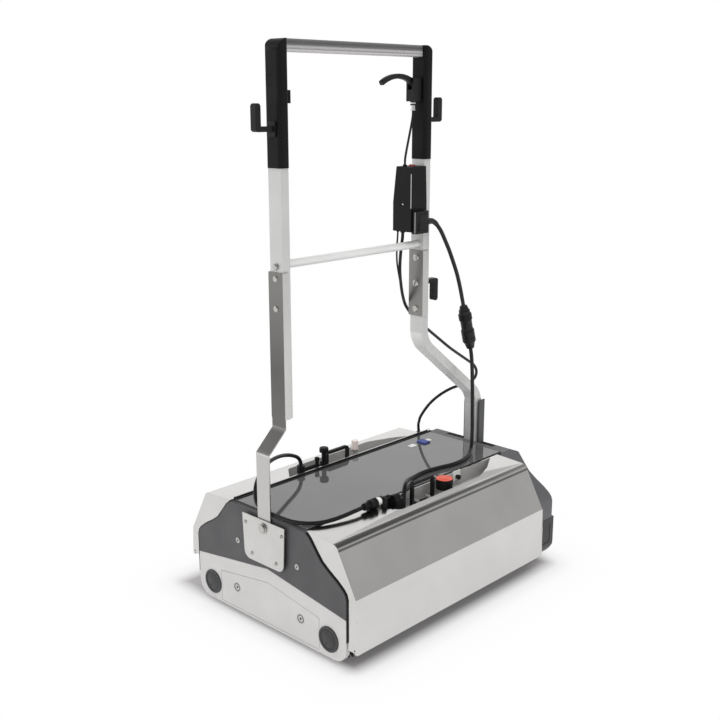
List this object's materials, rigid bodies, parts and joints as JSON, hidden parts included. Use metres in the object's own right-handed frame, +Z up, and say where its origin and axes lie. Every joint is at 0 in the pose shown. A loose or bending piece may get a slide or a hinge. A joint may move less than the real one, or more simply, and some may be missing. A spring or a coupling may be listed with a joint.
{
  "type": "cylindrical brush floor scrubber",
  "caption": "Upright floor scrubber with counter-rotating cylindrical brushes, a pick-up drum, lift-off steel tanks and a tilting tube handle.",
  "frame": {"origin": "middle of the machine's footprint on the floor, cords left out", "axes": "+X along the brushes towards the drive housing, +Y towards the rear tank, +Z up along the upright handle"},
  "size_m": [0.7434, 0.506, 1.176],
  "materials": {
    "stainless_steel": "satin",
    "frame_steel": "satin grey",
    "zinc_steel": "zinc plated",
    "strut_steel": "satin",
    "aluminium": "natural anodised",
    "white_plastic": "fine grain",
    "dark_plastic": "fine grain",
    "black_plastic": "moulded",
    "smoked_plastic": "smoked, glossy",
    "orange_plastic": "moulded",
    "pale_plastic": "moulded",
    "red_plastic": "moulded",
    "rubber": "matte",
    "bristle": "nylon filament",
    "core_plastic": "moulded",
    "dark_steel": "powder coated"
  },
  "bodies": {
    "chassis": {"frame_plates": "frame_steel", "tie_rods": "zinc_steel", "brush_hoods": "frame_steel", "end_cover_upper": "dark_plastic", "end_cover_lower": "white_plastic", "access_panel": "white_plastic", "axle_caps": "black_plastic", "end_screws": "zinc_steel", "pivot_bracket": "strut_steel", "pivot_pins": "zinc_steel", "drive_housing": "dark_plastic", "drive_lower_cover": "black_plastic", "smoked_lid": "smoked_plastic", "edge_seals": "rubber", "recovery_tank": "white_plastic", "drum_scraper": "rubber", "motor": "frame_steel", "drive_belts": "rubber", "shaft_bearings": "zinc_steel", "cable_glands": "black_plastic", "cable_bundle": "rubber", "front_hose": "rubber"},
    "motor_shaft": {"motor_pinion": "zinc_steel"},
    "layshaft": {"layshaft": "zinc_steel"},
    "brush_front": {"brush_core_front": "core_plastic", "bristles_front": "bristle"},
    "brush_rear": {"brush_core_rear": "core_plastic", "bristles_rear": "bristle"},
    "pickup_drum": {"pickup_drum": "dark_plastic"},
    "front_tank": {"front_tank_shell": "stainless_steel", "pump_block": "black_plastic", "front_fittings": "black_plastic", "lid_cord": "rubber"},
    "front_bail": {"front_bail": "black_plastic"},
    "front_cap": {"front_cap": "orange_plastic"},
    "rear_tank": {"rear_tank_shell": "stainless_steel", "rear_fittings": "black_plastic", "rear_hose": "rubber"},
    "rear_bail": {"rear_bail": "black_plastic"},
    "rear_cap": {"rear_cap": "pale_plastic"},
    "rear_knob": {"rear_knob": "black_plastic"},
    "handle": {"left_strut": "strut_steel", "left_tube": "aluminium", "right_tube": "aluminium", "joint_channel": "strut_steel", "leg_channel": "dark_steel", "frame_bolts": "zinc_steel", "cross_bar": "aluminium", "top_bar": "aluminium", "left_grip": "black_plastic", "right_grip": "black_plastic", "cable_hooks": "black_plastic", "switch_box": "black_plastic", "lever_bracket": "black_plastic", "cord_plugs": "rubber", "upper_cord": "rubber", "lever_cable": "rubber", "hanging_cord": "rubber"},
    "squeeze_lever": {"squeeze_lever": "black_plastic"},
    "rocker": {"rocker": "red_plastic"}
  },
  "joints": [
    {"name": "brush_front_spin", "type": "hinge", "parent": "chassis", "child": "brush_front", "pos_m": [0.27, -0.179, 0.0505], "axis": [1, 0, 0], "continuous": true},
    {"name": "brush_rear_spin", "type": "hinge", "parent": "chassis", "child": "brush_rear", "pos_m": [0.27, 0.179, 0.0505], "axis": [1, 0, 0], "continuous": true},
    {"name": "drum_spin", "type": "hinge", "parent": "chassis", "child": "pickup_drum", "pos_m": [0.27, 0, 0.08], "axis": [1, 0, 0], "continuous": true},
    {"name": "motor_spin", "type": "hinge", "parent": "chassis", "child": "motor_shaft", "pos_m": [0.285, -0.02, 0.196], "axis": [1, 0, 0], "continuous": true},
    {"name": "layshaft_spin", "type": "hinge", "parent": "chassis", "child": "layshaft", "pos_m": [0.285, 0.02, 0.196], "axis": [1, 0, 0], "continuous": true},
    {"name": "front_tank_lift", "type": "slide", "parent": "chassis", "child": "front_tank", "axis": [0, 0, 1], "range_m": [0, 0.03], "deforming": ["lid_cord", "front_hose"]},
    {"name": "rear_tank_lift", "type": "slide", "parent": "chassis", "child": "rear_tank", "axis": [0, 0, 1], "range_m": [0, 0.03], "deforming": ["rear_hose"]},
    {"name": "front_bail_fold", "type": "hinge", "parent": "front_tank", "child": "front_bail", "pos_m": [-0.0185, -0.135, 0.23], "axis": [1, 0, 0], "range_deg": [0, 45]},
    {"name": "rear_bail_fold", "type": "hinge", "parent": "rear_tank", "child": "rear_bail", "pos_m": [-0.008, 0.135, 0.23], "axis": [-1, 0, 0], "range_deg": [0, 45]},
    {"name": "front_cap_turn", "type": "hinge", "parent": "front_tank", "child": "front_cap", "pos_m": [0.046, -0.143, 0.26], "axis": [0, 0, 1], "range_deg": [0, 90]},
    {"name": "rear_cap_turn", "type": "hinge", "parent": "rear_tank", "child": "rear_cap", "pos_m": [0.06, 0.143, 0.272], "axis": [0, 0, 1], "range_deg": [0, 90]},
    {"name": "rear_valve_turn", "type": "hinge", "parent": "rear_tank", "child": "rear_knob", "pos_m": [-0.059, 0.1255, 0.28], "axis": [0, 0, 1], "range_deg": [0, 90]},
    {"name": "handle_tilt", "type": "hinge", "parent": "chassis", "child": "handle", "pos_m": [0, 0, 0.2305], "axis": [1, 0, 0], "range_deg": [-50, 50], "deforming": ["hanging_cord", "cable_bundle"]},
    {"name": "lever_squeeze", "type": "hinge", "parent": "handle", "child": "squeeze_lever", "pos_m": [0.094, 0, 1.102], "axis": [0, 1, 0], "range_deg": [0, 18], "stiffness_Nm_per_rad": 0.6, "springref_deg": -11.46},
    {"name": "switch_rock", "type": "hinge", "parent": "handle", "child": "rocker", "pos_m": [0.085, 0, 0.924], "axis": [0, 1, 0], "range_deg": [0, 14]}
  ],
  "couplings": [
    {"joint": "brush_rear_spin", "follows": "brush_front_spin", "ratio": -1},
    {"joint": "drum_spin", "follows": "brush_front_spin", "ratio": 0.8},
    {"joint": "motor_spin", "follows": "brush_front_spin", "ratio": 2},
    {"joint": "layshaft_spin", "follows": "brush_front_spin", "ratio": -2}
  ]
}
